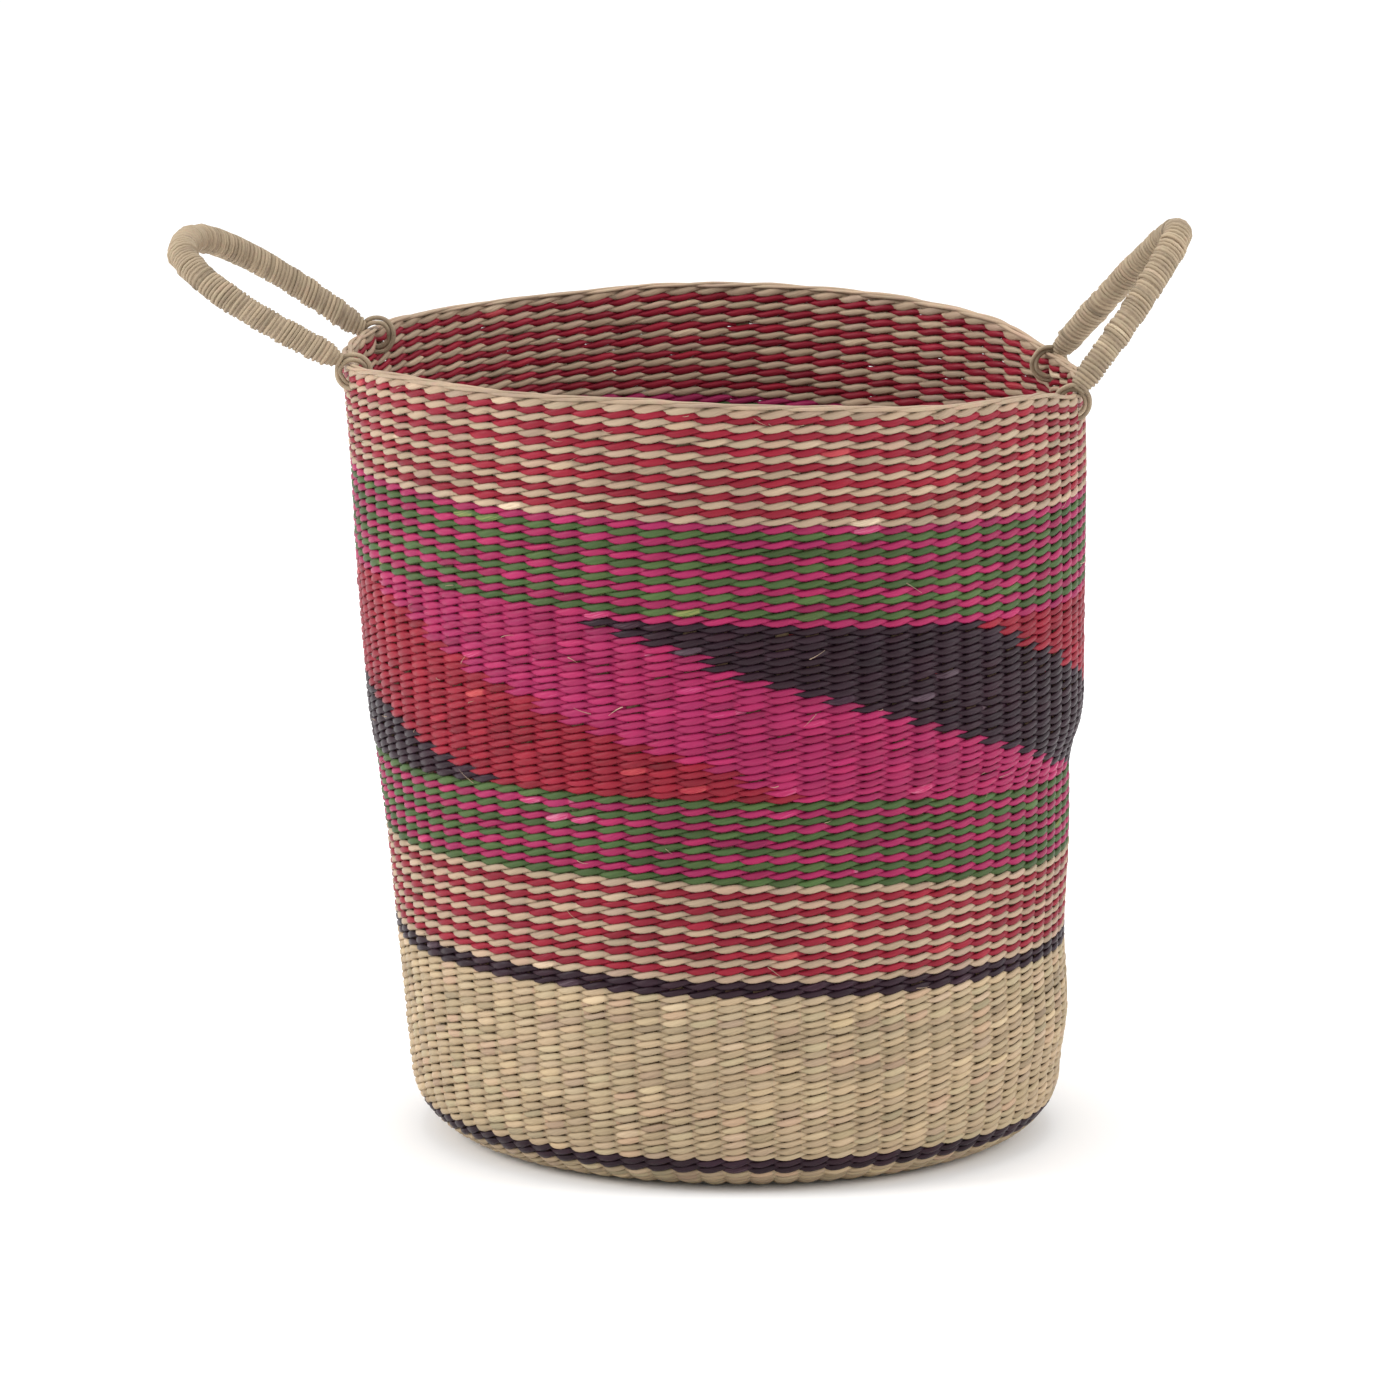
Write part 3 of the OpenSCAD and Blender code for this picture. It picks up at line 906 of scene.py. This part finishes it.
class BASKET_OT_handles(bpy.types.Operator):
    """Wraps both grips with twine over a rope core and ties each leg on with a cord eye"""

    bl_idname = "basket.handles"
    bl_label = "Handles"

    def execute(self, context):
        sizes = context.scene.basket_handles
        for number, side in enumerate(("left", "right")):
            rng = seeded(600 + number)
            body = f"{side}_handle"
            points, ahead, flat = grip_line(side, sizes.eye_radius / MM - 1.2)
            count = len(points)
            radius = grip_radius(sizes, count)
            sideways = unit(np.cross(ahead, flat))
            core = np.linspace(0, count - 1, 90).astype(int)
            weave_piece(
                f"{side}_grip_rope",
                [Strand(points[core], sideways[core], np.tile(flat, (90, 1)),
                        radius[core] - 0.7, radius[core] - 0.7, 0.3)],
                12, "twine", body, (f"{side}_grip_core",),
            )
            pitch = sizes.twine_width / MM * 0.95
            turns = int(count * 0.5 / pitch)
            per_turn = 12
            step = np.arange(turns * per_turn + 1)
            slack = between(rng.normal(0, 0.17, turns + 2), step / per_turn) * pitch
            spot = np.arange(count)
            turn = step * TAU / per_turn
            # The turns lie at a slant, flatter at the two ends.
            ends = np.sin(math.pi * step / step[-1]).clip(0) ** 0.3
            slack = slack + 1.5 * ends * np.cos(turn + 0.6)
            where = np.clip(step / step[-1] * (count - 1) + slack / 0.5, 0, count - 1)
            centre = np.stack([np.interp(where, spot, points[:, k]) for k in range(3)], axis=-1)
            forward = unit(np.stack([np.interp(where, spot, ahead[:, k]) for k in range(3)], -1))
            inward = unit(np.cross(forward, flat))
            radial = np.outer(np.cos(turn), flat) + inward * np.sin(turn)[:, None]
            lump = between(rng.normal(0, 0.32, turns + 2), step / per_turn)
            out = np.interp(where, spot, radius) - 0.9 + lump
            tones = between(stitch_tones(rng, turns + 2), step / per_turn)
            tones = tones + between(rng.normal(0, 0.1, 4 * turns + 8), step / per_turn * 4)
            wide = pitch * 0.5 * (1 + between(rng.normal(0, 0.08, turns + 2), step / per_turn))
            twine = Strand(centre + radial * out[:, None], forward, radial, wide, 1.15, tones)
            weave_piece(
                f"{side}_grip_twine", [twine], 6, "twine", body,
                (f"{side}_grip_wrap", f"{side}_front_neck", f"{side}_back_neck"),
            )
            for end in ("front", "back"):
                self.tie_eye(sizes, rng, side, end, body)
        return {"FINISHED"}

    def tie_eye(self, sizes, rng, side, end, body):
        """Two turns of cord, one round another, through the wall and over the border."""
        centre, line = EYES[side, end]
        upright = unit(UP - line * (UP @ line))
        across = np.cross(line, upright)
        radius, thick = sizes.eye_radius / MM, sizes.eye_strand / MM / 2
        rings = 48
        turn = np.arange(rings) * TAU / rings
        radial = np.outer(np.cos(turn), upright) + np.outer(np.sin(turn), across)
        strands = []
        for ply in range(2):
            wander = between(rng.normal(0, 0.2, 12), turn / TAU * 12)
            reach = radius - 1.3 + (ply - 0.5) * 1.9 * thick + wander
            aside = 0.9 * np.cos(turn + ply * 2.6)
            middle = centre + radial * reach[:, None] + np.outer(aside, line)
            tint = between(stitch_tones(rng, 12), turn / TAU * 12) - 0.05
            strands.append(
                Strand(middle, radial, np.tile(line, (rings, 1)), thick * 1.1, thick, tint, True)
            )
        weave_piece(
            f"{side}_{end}_cord_eye", strands, 8, "twine", body,
            (f"{side}_{end}_eye",),
        )


class BASKET_OT_stage(bpy.types.Operator):
    """Lays the pale floor, and sets the soft lights and the camera"""

    bl_idname = "basket.stage"
    bl_label = "Stage"

    def execute(self, context):
        scene = context.scene
        scene.view_settings.view_transform = "Standard"
        world = bpy.data.worlds.new("studio")
        scene.world = world
        world.use_nodes = True
        backdrop = world.node_tree.nodes["Background"]
        backdrop.inputs["Color"].default_value = (1, 1, 1, 1)
        backdrop.inputs["Strength"].default_value = 1.0

        bpy.ops.object.select_all(action="DESELECT")
        bpy.ops.mesh.primitive_plane_add(size=40, location=(0, 0, 0))
        floor = context.active_object
        floor.name = "studio_floor"
        paper = bpy.data.materials.new("matt_white_paper")
        paper.use_nodes = True
        tree = paper.node_tree
        tree.nodes.clear()
        grain = add(tree, "ShaderNodeTexNoise", {"Scale": 9.0, "Detail": 2.0})
        tone = add(tree, "ShaderNodeMapRange", {0: grain.outputs["Fac"], 3: 0.93, 4: 0.95})
        shade = add(
            tree, "ShaderNodeCombineColor",
            {0: tone.outputs[0], 1: tone.outputs[0], 2: tone.outputs[0]},
        )
        skin = add(
            tree, "ShaderNodeBsdfPrincipled", {"Base Color": shade.outputs[0], "Roughness": 0.9}
        )
        add(tree, "ShaderNodeOutputMaterial", {"Surface": skin.outputs[0]})
        floor.data.materials.append(paper)

        for name, place, size, power in (
            ("key_softbox", (-3.3, -0.7, 2.0), 2.0, 95),
            ("fill_softbox", (3.3, -0.7, 2.0), 2.0, 60),
            ("top_softbox", (0.0, 0.2, 3.2), 1.6, 30),
        ):
            light = bpy.data.lights.new(name, "AREA")
            light.size, light.energy = size, power
            lamp = bpy.data.objects.new(name, light)
            scene.collection.objects.link(lamp)
            lamp.location = place
            aim = Vector((0, 0, 0.2)) - Vector(place)
            lamp.rotation_euler = aim.to_track_quat("-Z", "Y").to_euler()

        camera = bpy.data.cameras.new("camera")
        camera.sensor_width, camera.lens = 36, 282.2
        camera.clip_end = 50
        eye = bpy.data.objects.new("camera", camera)
        scene.collection.objects.link(eye)
        eye.location = (-0.0193, -5.5, 1.346)
        aim = Vector((-0.0193, 0, 0.221)) - eye.location
        eye.rotation_euler = aim.to_track_quat("-Z", "Y").to_euler()
        scene.camera = eye
        return {"FINISHED"}


OPERATORS = (
    BASKET_OT_stage, BASKET_OT_stakes, BASKET_OT_base, BASKET_OT_natural_courses,
    BASKET_OT_dark_lines, BASKET_OT_stripes, BASKET_OT_slanting_fields, BASKET_OT_border,
    BASKET_OT_loose_fibres, BASKET_OT_handles,
)
GROUPS = {
    "basket_shape": BasketShape, "basket_weave": WeaveSizes, "basket_handles": HandleSizes,
    "basket_colours": BasketColours,
}


class BASKET_PT_panel(bpy.types.Panel):
    """The basket's sizes, colours and pieces"""

    bl_idname = "BASKET_PT_panel"
    bl_label = "Twined Basket"
    bl_space_type = "VIEW_3D"
    bl_region_type = "UI"
    bl_category = "Basket"

    def draw(self, context):
        for key, group in GROUPS.items():
            box = self.layout.box()
            for name in group.__annotations__:
                box.prop(getattr(context.scene, key), name)
        for operator in OPERATORS:
            self.layout.operator(operator.bl_idname)


def register():
    for group in (*GROUPS.values(), *OPERATORS, BASKET_PT_panel):
        bpy.utils.register_class(group)
    for key, group in GROUPS.items():
        setattr(bpy.types.Scene, key, bpy.props.PointerProperty(type=group))


def unregister():
    for key in GROUPS:
        delattr(bpy.types.Scene, key)
    for group in (BASKET_PT_panel, *reversed(OPERATORS), *GROUPS.values()):
        bpy.utils.unregister_class(group)


def main():
    """Builds every piece in order."""
    register()
    for operator in OPERATORS:
        group, name = operator.bl_idname.split(".")
        getattr(getattr(bpy.ops, group), name)()


if __name__ == "__main__":
    main()
